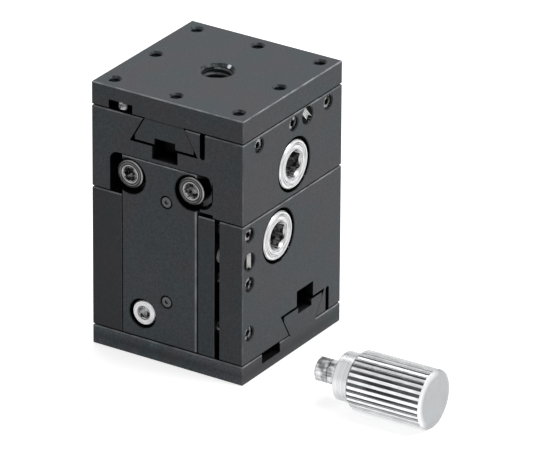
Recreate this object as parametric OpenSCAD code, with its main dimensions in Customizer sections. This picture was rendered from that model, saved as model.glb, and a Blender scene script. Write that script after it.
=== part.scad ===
// Three-axis dovetail stage, driven by racks and pinions, with its removable hex knob.
// Origin: centre of the underside of the base plate. X runs along the front face,
// Y runs from the front to the back, Z is up. All sizes are in millimetres.

/* [Body] */
// Width and depth of the square stage
body_w = 25; // [24:0.5:28]
// Thickness of the base plate
base_t = 2.85; // [2.6:0.05:4]
// Height of the lower block
lower_h = 21.05; // [21:0.05:24]
// Height of the upper block
upper_h = 12.2; // [12:0.05:14]
// Thickness of the top plate
top_t = 3.45; // [3.2:0.05:5]
// Seam left between two neighbouring plates or blocks
seam = 0.15; // [0.1:0.05:0.3]
// Chamfer on the outer edges of plates and blocks
edge_c = 0.15; // [0.1:0.05:0.4]

/* [Dovetails] */
// Angle of the dovetail flanks
dove_angle = 60; // [58:1:65]
// Width of the X and Y tongues at their neck
dove_neck = 6.4; // [5.8:0.1:6.8]
// Height of the X and Y tongues
dove_h = 3.5; // [3.2:0.1:3.7]
// Blunting of the sharp tongue edges
dove_blunt = 0.4; // [0.2:0.05:0.6]
// Gap between the tip of a tongue and the bottom of its channel
tip_gap = 0.4; // [0.2:0.05:0.5]
// Running gap on the plain flank, measured across
flank_gap = 0.25; // [0.05:0.05:0.25]
// Running gap on the flank of the adjusting strip, measured across
strip_gap = 0.08; // [0.05:0.01:0.12]
// Thickness of the adjusting strip at its root
strip_root = 0.3; // [0.2:0.05:0.5]
// Width of the slit behind an adjusting strip
slit_w = 0.85; // [0.6:0.05:1]
// Distance of the X tongue behind the middle of the stage
x_tongue_off = 2.8; // [2.6:0.05:3.2]
// Distance of the Y tongue to the left of the middle of the stage
y_tongue_off = 0.45; // [0:0.05:1]

/* [Vertical slide] */
// Width of the vertical slide plate on its front face
plate_w = 12.2; // [11.8:0.1:12.5]
// Thickness of the vertical slide plate
plate_t = 2.9; // [2.7:0.1:3.1]
// Distance of the slide plate to the left of the middle of the stage
plate_off = 1.3; // [1.1:0.05:1.4]
// Running gap on the right flank of the slide plate, measured across
plate_strip_gap = 0.3; // [0.1:0.05:0.35]
// Thickness of the Z adjusting strip at its root
z_strip_root = 0.8; // [0.5:0.05:0.9]
// Chamfer along the front edges of the slide plate and its channel
slide_c = 0.05; // [0.03:0.01:0.15]
// Running gap on the left flank of the slide plate, measured across
plate_flank_gap = 0.12; // [0.05:0.01:0.2]
// Gap behind the slide plate
plate_back_gap = 0.35; // [0.2:0.05:0.5]
// Height of the pocket in the upper block that holds the slide plate
pocket_h = 6.1; // [6:0.1:6.3]
// Width of that pocket
pocket_w = 17; // [16.6:0.1:17.4]
// Offset of the pocket to the right of the middle of the slide plate
pocket_off = 0.35; // [0.2:0.05:0.45]
// Gap between the slide plate and the ledge beside it
ledge_gap = 0.65; // [0.4:0.05:0.8]
// Radius of the pocket's corners
pocket_r = 1.3; // [0.8:0.1:1.6]
// Gap between the top of the slide plate and the pocket
plate_top_gap = 0.2; // [0.1:0.05:0.4]
// Height of the small ledge at the right of the pocket, above the seam
ledge_z = 0.55; // [0.5:0.05:0.7]
// Thickness of that ledge at its thin end
ledge_t = 0.4; // [0.3:0.05:0.6]
// Radius of the hollow between the ledge and the side of the pocket
ledge_r = 1.9; // [1.3:0.1:2]

/* [Travel and stops] */
// Travel of the X axis to each side
x_travel = 5; // [3:0.5:6]
// Travel of the Y axis to each side
y_travel = 5; // [3:0.5:6]
// Travel of the Z axis, upwards
z_travel = 10; // [6:0.5:10]
// Width of the X stop groove
x_groove_w = 4.6; // [4:0.1:4.8]
// Width of the Y stop groove
y_groove_w = 3.9; // [3.4:0.1:4.2]
// Depth of the stop grooves
stop_groove_d = 1.4; // [1.2:0.1:1.6]
// Distance of the X stop groove in front of the middle
x_stop_off = 5.3; // [5.1:0.05:5.5]
// Distance of the Y stop groove to the left of the middle
y_stop_off = 7.65; // [7.2:0.05:8]
// Distance of an X stop screw from the edge of the lower block
x_stop_edge = 2.8; // [1:0.05:3]
// Distance of a Y stop screw from the edge of the top plate
y_stop_edge = 0.95; // [0.9:0.05:1.2]
// Diameter of the stop screws
stop_screw_d = 1.6; // [1.4:0.1:1.7]
// Diameter of the stop pins
stop_pin_d = 1.5; // [1.2:0.1:1.8]
// Gap left between screw and pin at the end of the travel
stop_gap = 0.05; // [0.02:0.01:0.1]

/* [Rack drive] */
// Module of the rack and pinion teeth
gear_m = 0.4; // [0.36:0.01:0.4]
// Number of pinion teeth
gear_teeth = 14; // [14:1:14]
// Face width of a pinion
gear_w = 4; // [3.4:0.1:4.2]
// Width of a rack
rack_w = 3.4; // [3:0.1:3.6]
// Length of a rack
rack_len = 20; // [18:0.5:21]
// Depth of a rack's seat in its tongue
rack_seat = 0.9; // [0.6:0.1:1.1]
// Depth of the X pinion axis above the bottom of the lower block
x_drop = 8; // [7.8:0.1:8.2]
// Depth of the Y pinion axis below the top of the upper block
y_drop = 7.6; // [7.5:0.1:7.7]
// Distance of the Z pinion axis behind the front face
z_drop = 8.95; // [8.8:0.05:9]
// Offset of the X rack behind the middle of its tongue
x_rack_off = 0.5; // [0:0.1:0.6]
// Offset of the Y rack to the right of the middle of its tongue
y_rack_off = 0.1; // [0:0.1:0.4]
// Offset of the Z rack to the right of the middle of the slide plate
z_rack_off = 1.15; // [0.9:0.05:1.3]
// Height of the Z pinion axis below the top of the lower block
z_pinion_down = 4.6; // [4.4:0.05:4.8]
// Offset of the Y pinion axis behind the middle of the stage
y_pinion_off = 0.3; // [0:0.05:0.5]
// Diameter of the silver disc on a pinion shaft
disc_d = 7.2; // [6.6:0.1:7.6]
// Thickness of that disc
disc_t = 1.5; // [1.2:0.1:1.6]
// Diameter of the recess round the disc
recess_d = 8; // [7.6:0.1:8.2]
// Outer diameter of the bushes
bush_d = 7; // [6.8:0.1:7]
// Diameter of the shaft journal in the bush
journal_d = 5; // [4.6:0.1:5]
// Width across flats of the hex drive
hex_af = 3.4; // [3:0.1:3.5]
// Radial running clearance of shafts and journals
shaft_gap = 0.03; // [0.02:0.01:0.05]

/* [Screws] */
// Diameter of the small clamping and cap screws
screw_d = 2; // [1.8:0.1:2.1]
// Head diameter of the stop screw
head_d = 3.8; // [3.6:0.1:3.9]
// Head height of the cap screws
head_h = 2; // [1.8:0.1:2.1]
// Diameter of the stop screw's counterbore
cbore_d = 4.4; // [4.2:0.1:4.6]
// Depth of the stop screw's head below the slide plate's face
stop_sink = 0.3; // [0.05:0.05:0.4]
// Diameter of the two upper cap screws
mount_screw_d = 2.5; // [2:0.1:2.6]
// Head diameter of these screws
mount_head_d = 4.2; // [3.8:0.1:4.5]
// Width across flats of their sockets
mount_hex = 2; // [1.5:0.1:2.1]
// Diameter of their counterbores
mount_cbore_d = 5.3; // [4.7:0.1:5.4]
// Depth of these counterbores' middle below the middle of their screws
mount_cbore_drop = 0.3; // [0:0.05:0.4]
// Distance of the two upper cap screws from each other
mount_pitch = 10.1; // [9.8:0.1:10.3]
// Offset of these screws to the right of the middle of the slide plate
mount_off = 0.15; // [0:0.05:0.5]
// Offset of the stop screw to the left of the middle of the slide plate
z_stop_off = 2.8; // [2.5:0.1:3.1]
// Height of the foot of the Z rack above the middle of that screw
z_stop_down = 0.45; // [0.3:0.05:0.8]
// Height of the two upper cap screws above the bottom of the upper block
mount_up = 3.25; // [3.1:0.05:3.5]
// Pitch of the set screws in a row
set_pitch = 8.7; // [8:0.1:9]
// Pitch of the set screws in the Z column
z_set_pitch = 7.5; // [7:0.1:7.5]
// Depth of the set screws' row from the mouth of the dovetail
set_drop = 1.4; // [1.2:0.1:1.5]
// Distance of the Z column behind the front face
z_set_drop = 1.7; // [1.5:0.1:1.8]
// Diameter of the clamp screws
clamp_d = 2.5; // [2.3:0.1:2.6]
// Width of the slot in a clamp screw
clamp_slot_w = 1; // [0.6:0.1:1.1]
// Depth of that slot
clamp_slot_t = 0.5; // [0.3:0.05:0.6]
// Turn of the Y clamp screw's slot, in degrees
y_clamp_turn = 41; // [0:1:90]
// Distance of the clamp screw from the middle set screw
clamp_off = 3.45; // [3.2:0.05:3.8]
// Depth of the middle Z set screw below the top of the lower block
z_set_down = 9.15; // [8.9:0.05:9.6]
// Height of the Z rack's lower screw above the bottom of the lower block
rack_screw_up = 6.5; // [6.2:0.1:7]
// Depth that the upper cap screws reach into the upper block
cap_reach = 4.4; // [3.6:0.1:4.6]
// Length of the X stop screws
x_stop_len = 3; // [2.6:0.1:3.1]
// Length of the Y stop screws
y_stop_len = 2.2; // [2:0.1:2.6]
// Length of a stop pin in its hole
pin_seat = 2.2; // [1.8:0.1:2.4]
// Chamfer at the mouths of counterbores
mouth_c = 0.1; // [0.05:0.01:0.15]

/* [Mounting holes] */
// Pitch of the mounting holes in the top plate, over both gaps
hole_pitch = 20.4; // [19:0.1:20.6]
// Diameter of the tapped mounting holes
hole_d = 1.6; // [1.4:0.1:2]
// Countersink at the mouths of the mounting holes
hole_c = 0.26; // [0.15:0.01:0.3]
// Depth of the mounting holes in the top plate
hole_depth = 1.9; // [1.4:0.1:2]
// Pitch of the tapped holes under the base plate
base_pitch = 20.4; // [20:0.1:20.6]
// Depth of the holes under the base plate
base_hole_depth = 2.2; // [1.6:0.1:2.3]
// Diameter of the threaded hole in the middle of the top plate
centre_d = 4.4; // [4.2:0.1:4.6]
// Chamfer at the mouth of that hole
centre_c = 0.4; // [0.2:0.05:0.5]
// Depth of the threaded hole in the middle
centre_depth = 4.5; // [3.5:0.1:4.8]

/* [Knob] */
// Diameter of the knob's grip
knob_d = 8.5; // [8:0.1:9.5]
// Length of the grip
knob_len = 11.95; // [10:0.05:14]
// Number of flutes round the grip
knob_flutes = 29; // [24:1:32]
// Width of a flute
flute_w = 0.5; // [0.4:0.05:0.56]
// Length of the plain band at the cap end of the grip
knob_band = 0.35; // [0.2:0.05:1.4]
// Width of the rounding at the cap end of the grip
knob_rim = 1.05; // [0.6:0.05:1.4]
// Length of that rounding along the grip
knob_rim_len = 0.35; // [0.2:0.05:0.8]
// Diameter of the collar
collar_d = 7; // [6.4:0.1:7.2]
// Length of the collar
collar_len = 2.45; // [2:0.05:3]
// Length of the hex end that stands out of the collar
key_out = 3.85; // [3:0.05:4.5]
// Place of the cap end of the lying knob, to the right of the middle
knob_x = 41.25; // [38:0.05:45]
// Place of the cap end of the lying knob, in front of the middle
knob_front = 8.55; // [5:0.05:10]
// Turn of the lying knob, seen from above, in degrees
knob_turn = 1.5; // [0:0.1:5]

/* [Hidden] */
$fn = 48;
eps = 0.01;
half = body_w / 2;
tan_d = tan(dove_angle);

// Heights of the seams, counted from the floor
lower_z0 = base_t + seam;
lower_z1 = lower_z0 + lower_h;
upper_z0 = lower_z1 + seam;
upper_z1 = upper_z0 + upper_h;
top_z0 = upper_z1 + seam;
top_z1 = top_z0 + top_t;

// Dovetail of the X and Y axes, measured down from the face of the block
dove_depth = dove_h - seam + tip_gap;
tongue_tip = seam - dove_h;
slit_in = flank_at(-dove_depth) + strip_gap + strip_root;

// Middle lines of the tongues, racks and grooves
x_tongue_y = x_tongue_off;
y_tongue_x = -y_tongue_off;
x_rack_y = x_tongue_y + x_rack_off;
y_rack_x = y_tongue_x + y_rack_off;
x_stop_y = -x_stop_off;
y_stop_x = -y_stop_off;
x_stop_at = half - x_stop_edge;
y_stop_at = half - y_stop_edge;
x_pin_at = x_stop_at - x_travel - stop_gap - (stop_screw_d + stop_pin_d) / 2;
y_pin_at = y_stop_at - y_travel - stop_gap - (stop_screw_d + stop_pin_d) / 2;

// Vertical slide, measured back from the front face
plate_x = -plate_off;
plate_z0 = lower_z0 + seam;
plate_z1 = upper_z0 + pocket_h - plate_top_gap;
plate_depth = plate_t + plate_back_gap;
plate_slit_in = plate_flank(plate_depth) + plate_strip_gap + z_strip_root;
z_rack_x = plate_x + z_rack_off;

// Teeth
pitch_r = gear_m * gear_teeth / 2;
pinion_add = gear_m;
rack_add = 0.8 * gear_m;
tooth_gap = 0.25 * gear_m;
press_angle = 20;
tooth_pitch = PI * gear_m;
backlash = 0.08;
base_r = pitch_r * cos(press_angle);
tip_r = pitch_r + pinion_add;
root_r = pitch_r - rack_add - tooth_gap;
groove_gap = 0.5;
groove_w = rack_w + 0.8;
z_rack_z0 = z_pinion_z() - z_travel - 2.3;

// Places of the pinion axes
x_pinion = [0, x_rack_y, lower_z0 + x_drop];
y_pinion = [y_rack_x, y_pinion_off, upper_z1 - y_drop];
z_pinion = [z_rack_x, z_drop - half, z_pinion_z()];

// Shafts, measured inwards from the face that the disc shows in
disc_sink = 0.05;
washer_t = 0.25;
bush_in = disc_sink + disc_t + washer_t + 0.1;
recess_t = bush_in + 0.3;
gear_gap = 0.25;
seat_d = 3.6;
tail_d = 3;
tail_len = 2.4;
socket_t = 2.6;
socket_gap = 0.03;
socket_c = 0.4;

// Screws
fit = 0.02;
set_sink = 0.35;
clamp_sink = 0.15;
small_d = 1.2;
small_head_d = 1.5;
small_head_t = 0.7;
small_cbore_d = 1.9;
small_grip = 1.7;
stop_hex = 1.6;
key_in = 4;
stop_tip_gap = 0.25;
z_stop_x = plate_x - z_stop_off;
z_stop_z = z_rack_z0 - z_stop_down;
stop_slot_w = screw_d + 0.3;
stop_slot_d = 1.7;
land_at = rack_len / 2 - 1.35;
land_head_d = 2;

black = [0.17, 0.175, 0.18];
blackened = [0.1, 0.1, 0.11];
silver = [0.83, 0.83, 0.84];
steel = [0.6, 0.6, 0.61];
brass = [0.74, 0.6, 0.33];

// Height of the Z pinion axis
function z_pinion_z() = lower_z1 - z_pinion_down;

// Half width of an X or Y tongue at a height measured from the face of the block
function flank_at(h) = dove_neck / 2 + (seam - h) / tan_d;

// Half width of the slide plate at a depth behind the front face
function plate_flank(d) = plate_w / 2 + d / tan_d;

// Half width angle of a pinion tooth at radius r
function tooth_half(r) =
    let (a = acos(base_r / max(r, base_r)))
    90 / gear_teeth - backlash / 2 / pitch_r * 90 / PI + involute(press_angle) - involute(a);
function involute(a) = tan(a) * 180 / PI - a;
function polar(r, a) = [r * cos(a), r * sin(a)];

// Rectangle with chamfered corners
module chamfered(w, h, c) {
    polygon([[-w / 2 + c, -h / 2], [w / 2 - c, -h / 2], [w / 2, -h / 2 + c], [w / 2, h / 2 - c],
        [w / 2 - c, h / 2], [-w / 2 + c, h / 2], [-w / 2, h / 2 - c], [-w / 2, -h / 2 + c]]);
}

// Square block of the stage between two heights, all its edges chamfered
module block(z0, z1) {
    h = z1 - z0;
    translate([0, 0, z0 + h / 2])
        intersection() {
            linear_extrude(h, center = true) chamfered(body_w, body_w, edge_c);
            rotate([90, 0, 0]) linear_extrude(body_w, center = true) chamfered(body_w, h, edge_c);
            rotate([90, 0, 90]) linear_extrude(body_w, center = true) chamfered(body_w, h, edge_c);
        }
}

// Extrusion of a profile along Y, about the middle; the profile lies in X and Z
module along_y(len) {
    rotate([90, 0, 0]) linear_extrude(len, center = true) children();
}

// Extrusion of a profile along X, about the middle; the profile lies in Y and Z
module along_x(len) {
    rotate([90, 0, 90]) linear_extrude(len, center = true) children();
}

// Profile of a tongue below a plate: height 0 is the face of the block
module tongue_2d() {
    b = dove_blunt;
    tip = flank_at(tongue_tip) - b;
    up = tongue_tip + b * tan_d;
    neck = flank_at(seam);
    root = seam + 2 * edge_c;
    polygon([[-neck, root], [-neck, seam], [-tip, up], [-tip, tongue_tip],
        [tip, tongue_tip], [tip, up], [neck, seam], [neck, root]]);
}

// Profile of the channel that a tongue runs in
module channel_2d() {
    d = -dove_depth;
    polygon([[-flank_at(1) - flank_gap, 1], [-flank_at(d) - flank_gap, d],
        [flank_at(d) + strip_gap, d], [flank_at(1) + strip_gap, 1]]);
}

// Profile of the slit behind the adjusting strip, with a round bottom
module slit_2d() {
    r = slit_w / 2;
    translate([slit_in + r, -dove_depth + r]) circle(r);
    translate([slit_in, -dove_depth + r]) square([slit_w, dove_depth - r + 1]);
}

// Everything that is cut along the dovetail of a block, apart from the rack groove
module guide_2d() {
    channel_2d();
    slit_2d();
}

// Rack groove of a block: from the channel down to below the teeth
module rack_groove_2d(drop) {
    bottom = -drop + pitch_r - rack_add - groove_gap;
    translate([-groove_w / 2, bottom]) square([groove_w, -dove_depth - bottom + eps]);
}

// Seat of the rack in the tongue
module rack_seat_2d() {
    translate([-rack_w / 2 - fit, tongue_tip - eps])
        square([rack_w + 2 * fit, rack_seat + eps]);
}

// Rack along X: teeth point down, the pitch line is at height 0, one tooth is centred at phase
module rack_body(len, back, phase, lo, hi) {
    root = rack_add + 2 * tooth_gap;
    wide = tooth_pitch / 4 - backlash / 4 + root * tan(press_angle);
    narrow = tooth_pitch / 4 - backlash / 4 - rack_add * tan(press_angle);
    n = ceil(len / tooth_pitch);
    rotate([90, 0, 0])
        linear_extrude(rack_w, center = true) {
            translate([-len / 2, root]) square([len, back - root]);
            for (i = [-n : n]) {
                s = phase + i * tooth_pitch;
                if (s > lo + wide && s < hi - wide)
                    translate([s, 0])
                        polygon([[-wide, root + eps], [-wide, root], [-narrow, -rack_add],
                            [narrow, -rack_add], [wide, root], [wide, root + eps]]);
            }
            if (lo > -len / 2) translate([-len / 2, -rack_add]) square([lo + len / 2, root + rack_add + eps]);
            if (hi < len / 2) translate([hi, -rack_add]) square([len / 2 - hi, root + rack_add + eps]);
        }
}

// Rack of the X and Y axes, with plain ends that its two screws pass through
module screwed_rack(drop, phase) {
    back = tongue_tip + rack_seat + drop - pitch_r;
    land = land_at - 1.15;
    difference() {
        rack_body(rack_len, back, phase, -land, land);
        for (s = [-1, 1]) translate([s * land_at, 0, 0]) {
            translate([0, 0, -rack_add - 1]) cylinder(d = small_d + 2 * fit, h = back + rack_add + 2);
            translate([0, 0, -rack_add - 1]) cylinder(d = land_head_d + 0.1, h = 1 + small_head_t);
        }
    }
}

// The screws of such a rack, heads towards the pinion
module rack_screws(drop) {
    back = tongue_tip + rack_seat + drop - pitch_r;
    for (s = [-1, 1]) translate([s * land_at, 0, -rack_add]) difference() {
        union() {
            cylinder(d = small_d, h = back + rack_add + 1.5);
            translate([0, 0, 0.1]) cylinder(d = land_head_d, h = small_head_t - 0.1);
        }
        translate([0, 0, -eps]) cylinder(d = 0.7 / cos(30), h = 0.5, $fn = 6);
    }
}

// Pinion with its axis along Z, a gap between two teeth at angle 0
module pinion_2d() {
    radii = [root_r, base_r, base_r + (tip_r - base_r) / 4, base_r + (tip_r - base_r) / 2,
        base_r + (tip_r - base_r) * 3 / 4, tip_r];
    last = len(radii) - 1;
    polygon([for (i = [0 : gear_teeth - 1])
        let (mid = (i + 0.5) * 360 / gear_teeth)
        each concat([for (k = [0 : last]) polar(radii[k], mid - tooth_half(radii[k]))],
            [for (k = [last : -1 : 0]) polar(radii[k], mid + tooth_half(radii[k]))])]);
}

// The drive parts are drawn with their axis along Z: the face of the block is at 0 and
// the block lies below it. deep is the depth of the middle of the rack.
module drive_holes(deep) {
    inner = deep + gear_w / 2 + gear_gap;
    counterbore(recess_d, recess_t);
    translate([0, 0, -inner]) cylinder(d = bush_d + 2 * fit, h = inner);
    translate([0, 0, -inner - tail_len]) cylinder(d = tail_d + 2 * shaft_gap, h = tail_len + eps);
}

module drive_shaft(deep) {
    gear_top = deep - gear_w / 2;
    gear_end = deep + gear_w / 2;
    c = 0.2;
    color(silver) difference() {
        union() {
            translate([0, 0, -disc_sink - c]) cylinder(d1 = disc_d, d2 = disc_d - 2 * c, h = c);
            translate([0, 0, -disc_sink - disc_t]) cylinder(d = disc_d, h = disc_t - c);
            translate([0, 0, -gear_top]) cylinder(d = journal_d, h = gear_top - disc_sink - disc_t);
            translate([0, 0, -gear_end]) cylinder(d = seat_d, h = gear_w);
            translate([0, 0, -gear_end - gear_gap - tail_len + 0.2])
                cylinder(d = tail_d, h = gear_gap + tail_len - 0.2);
        }
        translate([0, 0, -disc_sink - socket_t])
            cylinder(d = (hex_af + 2 * socket_gap) / cos(30), h = socket_t + 1, $fn = 6);
        translate([0, 0, -disc_sink - socket_c])
            cylinder(d1 = hex_af, d2 = hex_af + 2 * (socket_c + eps), h = socket_c + eps);
    }
}

module drive_pinion(deep, turn) {
    color(brass) translate([0, 0, -deep]) difference() {
        linear_extrude(gear_w, center = true) rotate(turn) pinion_2d();
        cylinder(d = seat_d + 2 * fit, h = gear_w + 1, center = true);
    }
}

module drive_bush(deep) {
    end = deep - gear_w / 2 - gear_gap;
    color(blackened) difference() {
        translate([0, 0, -end]) cylinder(d = bush_d, h = end - bush_in);
        translate([0, 0, -end - 1]) cylinder(d = journal_d + 2 * shaft_gap, h = end + 1);
    }
}

module drive_washer() {
    color(steel) translate([0, 0, -bush_in]) difference() {
        cylinder(d = disc_d - 0.4, h = washer_t);
        translate([0, 0, -1]) cylinder(d = journal_d + 4 * shaft_gap, h = washer_t + 2);
    }
}

// Places where the drives show: X on the back face, Y and Z on the right face
module at_x_drive() {
    translate([x_pinion[0], half, x_pinion[2]]) rotate([-90, 0, 0]) children();
}

module at_y_drive() {
    translate([half, y_pinion[1], y_pinion[2]]) rotate([0, 90, 0]) children();
}

module at_z_drive() {
    translate([half, z_pinion[1], z_pinion[2]]) rotate([0, 90, 0]) children();
}

x_deep = half - x_pinion[1];
y_deep = half - y_pinion[0];
z_deep = half - z_pinion[0];

// Set screw with a hex socket: its outer end is at height 0 and it points down
module set_screw(d, len, af) {
    difference() {
        translate([0, 0, -len]) cylinder(d = d, h = len);
        translate([0, 0, -af]) cylinder(d = af / cos(30), h = af + 1, $fn = 6);
    }
}

// Clamp screw with a straight slot: its outer end is at height 0 and it points down
module clamp_screw(len, turn) {
    color(silver) difference() {
        translate([0, 0, -len]) cylinder(d = clamp_d, h = len);
        rotate([0, 0, turn]) translate([-clamp_d, -clamp_slot_w / 2, -clamp_slot_t])
            cube([2 * clamp_d, clamp_slot_w, clamp_slot_t + 1]);
    }
}

// Hole of a set screw, with a small countersink
module set_hole(d, len) {
    translate([0, 0, -len]) cylinder(d = d + 2 * fit, h = len + 1);
    translate([0, 0, -0.15]) cylinder(d1 = d + 2 * fit, d2 = d + 0.4, h = 0.15 + eps);
}

// Cap screw: the top of its head is at height 0 and it points down
module cap_screw(len, d, head, af) {
    c = 0.2;
    difference() {
        union() {
            translate([0, 0, -c]) cylinder(d1 = head, d2 = head - 2 * c, h = c);
            translate([0, 0, -head_h]) cylinder(d = head, h = head_h - c);
            translate([0, 0, -head_h - len]) cylinder(d = d, h = len);
        }
        translate([0, 0, -1.1]) cylinder(d = af / cos(30), h = 2, $fn = 6);
        translate([0, 0, -c]) cylinder(d1 = af, d2 = af + 2 * (c + eps), h = c + eps);
    }
}

// Rows of set screws: length of wall between the outer face and the slit
x_wall = half - x_tongue_y - slit_in - slit_w;
y_wall = half - y_tongue_x - slit_in - slit_w;
z_wall = half - plate_x - plate_slit_in - slit_w;

module at_x_row(xs) {
    for (x = xs) translate([x, half, lower_z0 + set_drop]) rotate([-90, 0, 0]) children();
}

module at_y_row(ys) {
    for (y = ys) translate([half, y, upper_z1 - set_drop]) rotate([0, 90, 0]) children();
}

module at_z_row(zs) {
    for (z = zs) translate([half, z_set_drop - half, z]) rotate([0, 90, 0]) children();
}

row_mid = 0.2;
x_set = [for (i = [-1 : 1]) i * set_pitch];
y_set = [for (i = [-1 : 1]) row_mid + i * set_pitch];
z_set_mid = lower_z1 - z_set_down;
z_set = [for (i = [-1 : 1]) z_set_mid + i * z_set_pitch];
x_clamp_at = clamp_off;
y_clamp_at = row_mid + clamp_off;
z_clamp_at = z_set_mid + clamp_off;

// Front profile of the pocket in the upper block, in X and Z
module pocket_2d() {
    left = plate_x + pocket_off - pocket_w / 2;
    right = plate_x + pocket_off + pocket_w / 2;
    top = upper_z0 + pocket_h;
    split = plate_x + plate_w / 2 + ledge_gap;
    shelf = upper_z0 + ledge_z + ledge_t;
    r = pocket_r;
    low_r = ledge_r;
    translate([left + r, top - r]) circle(r);
    translate([left, upper_z0 - 1]) square([split - left, pocket_h + 1 - r]);
    translate([left + r, top - r - eps]) square([right - left - 2 * r, r + eps]);
    translate([right - r, top - r]) circle(r);
    translate([right - low_r, shelf + low_r]) circle(low_r);
    translate([split - 1, shelf + low_r]) square([right - split + 1, top - shelf - low_r - r]);
    translate([split - 1, shelf]) square([right - low_r - split + 1, low_r + eps]);
    translate([split - 1, upper_z0 - 1]) square([right - split + 1, ledge_z + 1]);
}

// Profile of the slide plate, seen from above; the front face is at -half
module plate_2d(gap_l, gap_r, depth) {
    d = depth;
    polygon([[-plate_flank(0) - gap_l, 0], [-plate_flank(d) - gap_l, d],
        [plate_flank(d) + gap_r, d], [plate_flank(0) + gap_r, 0]]);
}

// Bound of the slide plate's profile that chamfers its two front edges
module front_edges_2d() {
    w = plate_flank(0);
    wide = w + plate_t;
    polygon([[-w + slide_c, 0], [-wide, wide - w + slide_c], [wide, wide - w + slide_c], [w - slide_c, 0]]);
}

// Chamfered mouth of a groove between a and b in the front face, seen from above
module mouth_2d(a, b) {
    polygon([[a - slide_c - eps, -eps], [a, slide_c], [b, slide_c], [b + slide_c + eps, -eps]]);
}

module base_plate() {
    color(black) difference() {
        union() {
            block(0, base_t);
            translate([0, x_tongue_y, lower_z0]) along_x(body_w) mirror([0, 1]) tongue_2d();
        }
        translate([0, x_rack_y, lower_z0]) along_x(body_w + 2) mirror([0, 1]) rack_seat_2d();
        translate([-half - 1, x_stop_y - x_groove_w / 2, base_t - stop_groove_d])
            cube([body_w + 2, x_groove_w, stop_groove_d + 1]);
        for (s = [-1, 1]) {
            translate([s * x_pin_at, x_stop_y, 0.4]) cylinder(d = stop_pin_d + 2 * fit, h = base_t);
            translate([s * land_at, x_rack_y, base_t + dove_h - rack_seat - 1.6])
                cylinder(d = small_d + 2 * fit, h = 2);
        }
        for (x = [-1, 1], y = [-1, 1])
            translate([x * base_pitch / 2, y * base_pitch / 2, -eps]) {
                cylinder(d = hole_d, h = base_hole_depth + eps);
                cylinder(d1 = hole_d + 2 * hole_c, d2 = hole_d, h = hole_c);
            }
    }
}

module x_rack() {
    color(blackened) translate([0, x_rack_y, x_pinion[2] - pitch_r]) mirror([0, 0, 1])
        screwed_rack(x_drop, 0);
}

module x_rack_screws() {
    color(steel) translate([0, x_rack_y, x_pinion[2] - pitch_r]) mirror([0, 0, 1])
        rack_screws(x_drop);
}

module x_stop_pins() {
    z0 = 0.4;
    color(steel) for (s = [-1, 1]) translate([s * x_pin_at, x_stop_y, z0])
        cylinder(d = stop_pin_d, h = base_t - z0 - 0.1);
}

module lower_block() {
    color(black) difference() {
        block(lower_z0, lower_z1);
        translate([0, x_tongue_y, lower_z0]) along_x(body_w + 2) mirror([0, 1]) guide_2d();
        translate([0, x_rack_y, lower_z0]) along_x(body_w + 2) mirror([0, 1]) rack_groove_2d(x_drop);
        at_x_drive() drive_holes(x_deep);
        at_x_row(x_set) set_hole(screw_d, x_wall + slit_w / 2);
        at_x_row([x_clamp_at]) set_hole(clamp_d, x_wall + slit_w / 2);
        translate([plate_x, -half, lower_z0 - 1]) linear_extrude(lower_h + 2) {
            plate_2d(plate_flank_gap, plate_strip_gap, plate_depth);
            translate([-plate_w / 2 - plate_flank_gap, -1])
                square([plate_w + plate_flank_gap + plate_strip_gap, 1 + eps]);
            mouth_2d(-plate_flank(0) - plate_flank_gap, plate_flank(0) + plate_strip_gap);
            mouth_2d(plate_slit_in, plate_slit_in + slit_w);
            translate([plate_slit_in, -1]) square([slit_w, plate_depth - slit_w / 2 + 1]);
            translate([plate_slit_in + slit_w / 2, plate_depth - slit_w / 2]) circle(d = slit_w);
        }
        translate([z_rack_x - groove_w / 2, -half + plate_depth - eps, lower_z0 - 1])
            cube([groove_w, z_drop - pitch_r + rack_add + groove_gap - plate_depth, lower_h + 2]);
        at_z_drive() drive_holes(z_deep);
        at_z_row(z_set) set_hole(screw_d, z_wall + slit_w / 2);
        at_z_row([z_clamp_at]) set_hole(clamp_d, z_wall + slit_w / 2);
        translate([z_stop_x, -half + plate_depth - eps, z_stop_z]) rotate([-90, 0, 0])
            for (up = [0 : z_travel : z_travel]) translate([0, -up, 0])
                cylinder(d = stop_slot_w, h = stop_slot_d + eps);
        translate([z_stop_x - stop_slot_w / 2, -half + plate_depth - eps, z_stop_z])
            cube([stop_slot_w, stop_slot_d + eps, z_travel]);
        for (s = [-1, 1]) translate([s * x_stop_at, x_stop_y, lower_z0 - 1])
            cylinder(d = stop_screw_d + 2 * fit, h = x_stop_len - seam - stop_groove_d + stop_tip_gap + 1.3);
    }
}

module x_stop_screws() {
    color(blackened) for (s = [-1, 1])
        translate([s * x_stop_at, x_stop_y, base_t - stop_groove_d + stop_tip_gap])
            mirror([0, 0, 1]) set_screw(stop_screw_d, x_stop_len, 0.7);
}

module x_bush() {
    at_x_drive() drive_bush(x_deep);
}

module x_friction_washer() {
    at_x_drive() drive_washer();
}

module x_set_screws() {
    color(blackened) at_x_row(x_set) translate([0, 0, -set_sink])
        set_screw(screw_d, x_wall + slit_w - set_sink, 0.9);
}

module z_bush() {
    at_z_drive() drive_bush(z_deep);
}

module z_friction_washer() {
    at_z_drive() drive_washer();
}

module z_set_screws() {
    color(blackened) at_z_row(z_set) translate([0, 0, -set_sink])
        set_screw(screw_d, z_wall + slit_w - set_sink, 0.9);
}

module x_shaft() {
    at_x_drive() drive_shaft(x_deep);
}

module x_drive_pinion() {
    at_x_drive() drive_pinion(x_deep, 90);
}

module z_shaft() {
    at_z_drive() drive_shaft(z_deep);
}

module z_drive_pinion() {
    at_z_drive() drive_pinion(z_deep, -90);
}

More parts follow.
